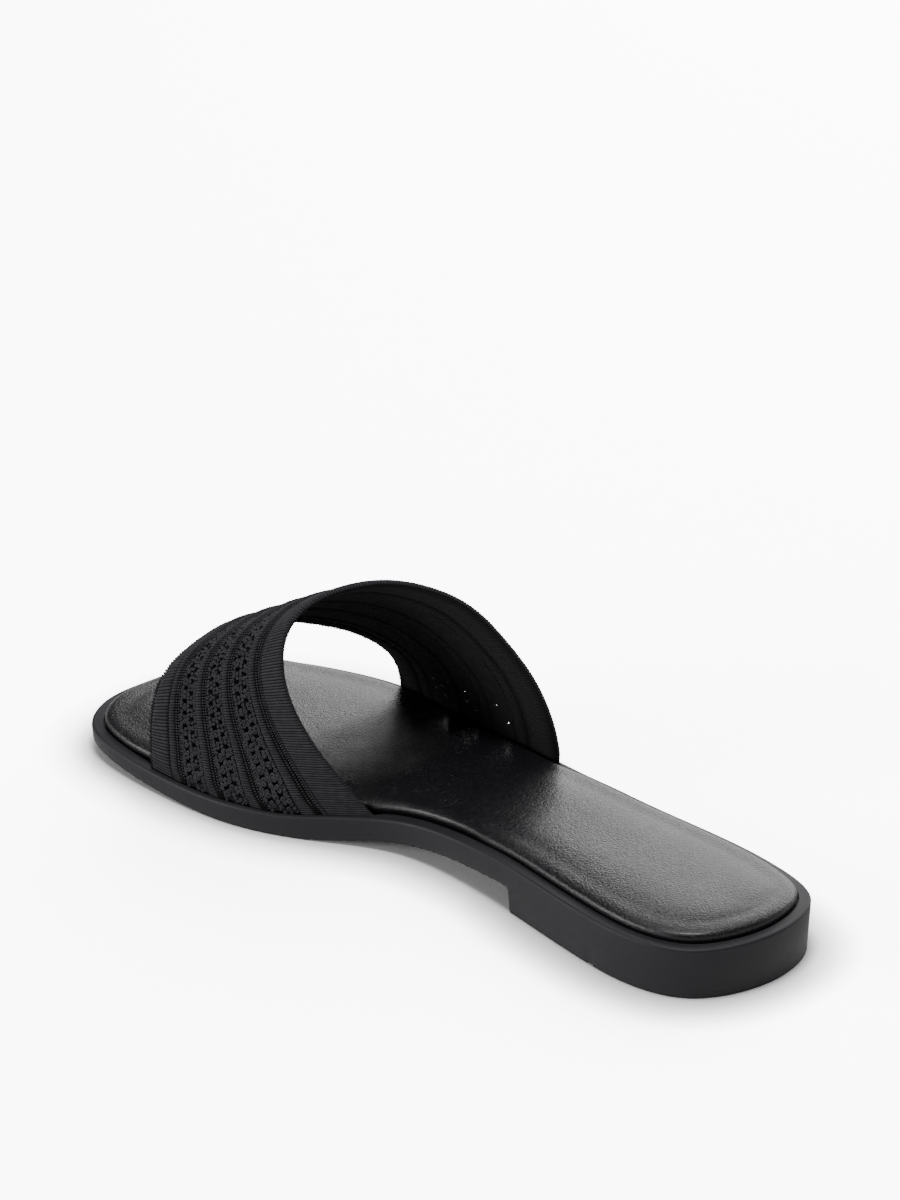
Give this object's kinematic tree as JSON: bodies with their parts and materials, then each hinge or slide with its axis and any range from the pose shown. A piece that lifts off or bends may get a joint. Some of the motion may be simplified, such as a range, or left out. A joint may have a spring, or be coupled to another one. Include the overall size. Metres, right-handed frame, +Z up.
{
  "type": "slide sandal",
  "caption": "Backless slide sandal for the right foot: moulded sole with a low block heel, padded insole and a wide ribbed knit strap.",
  "frame": {"origin": "on the floor under the middle of the sole's outline", "axes": "+Z up, +Y along the sole towards the toe, +X to the wearer's right, which is the outer side of the foot"},
  "size_m": [0.0924, 0.2584, 0.0736],
  "materials": {
    "outsole_rubber": "matt moulded rubber, near black",
    "insole_leather": "fine-grained smooth leather with a soft sheen, black",
    "strap_knit": "matt ribbed and openwork knit, black"
  },
  "bodies": {
    "root": {"outsole": "outsole_rubber", "insole": "insole_leather", "strap": "strap_knit"}
  },
  "joints": []
}
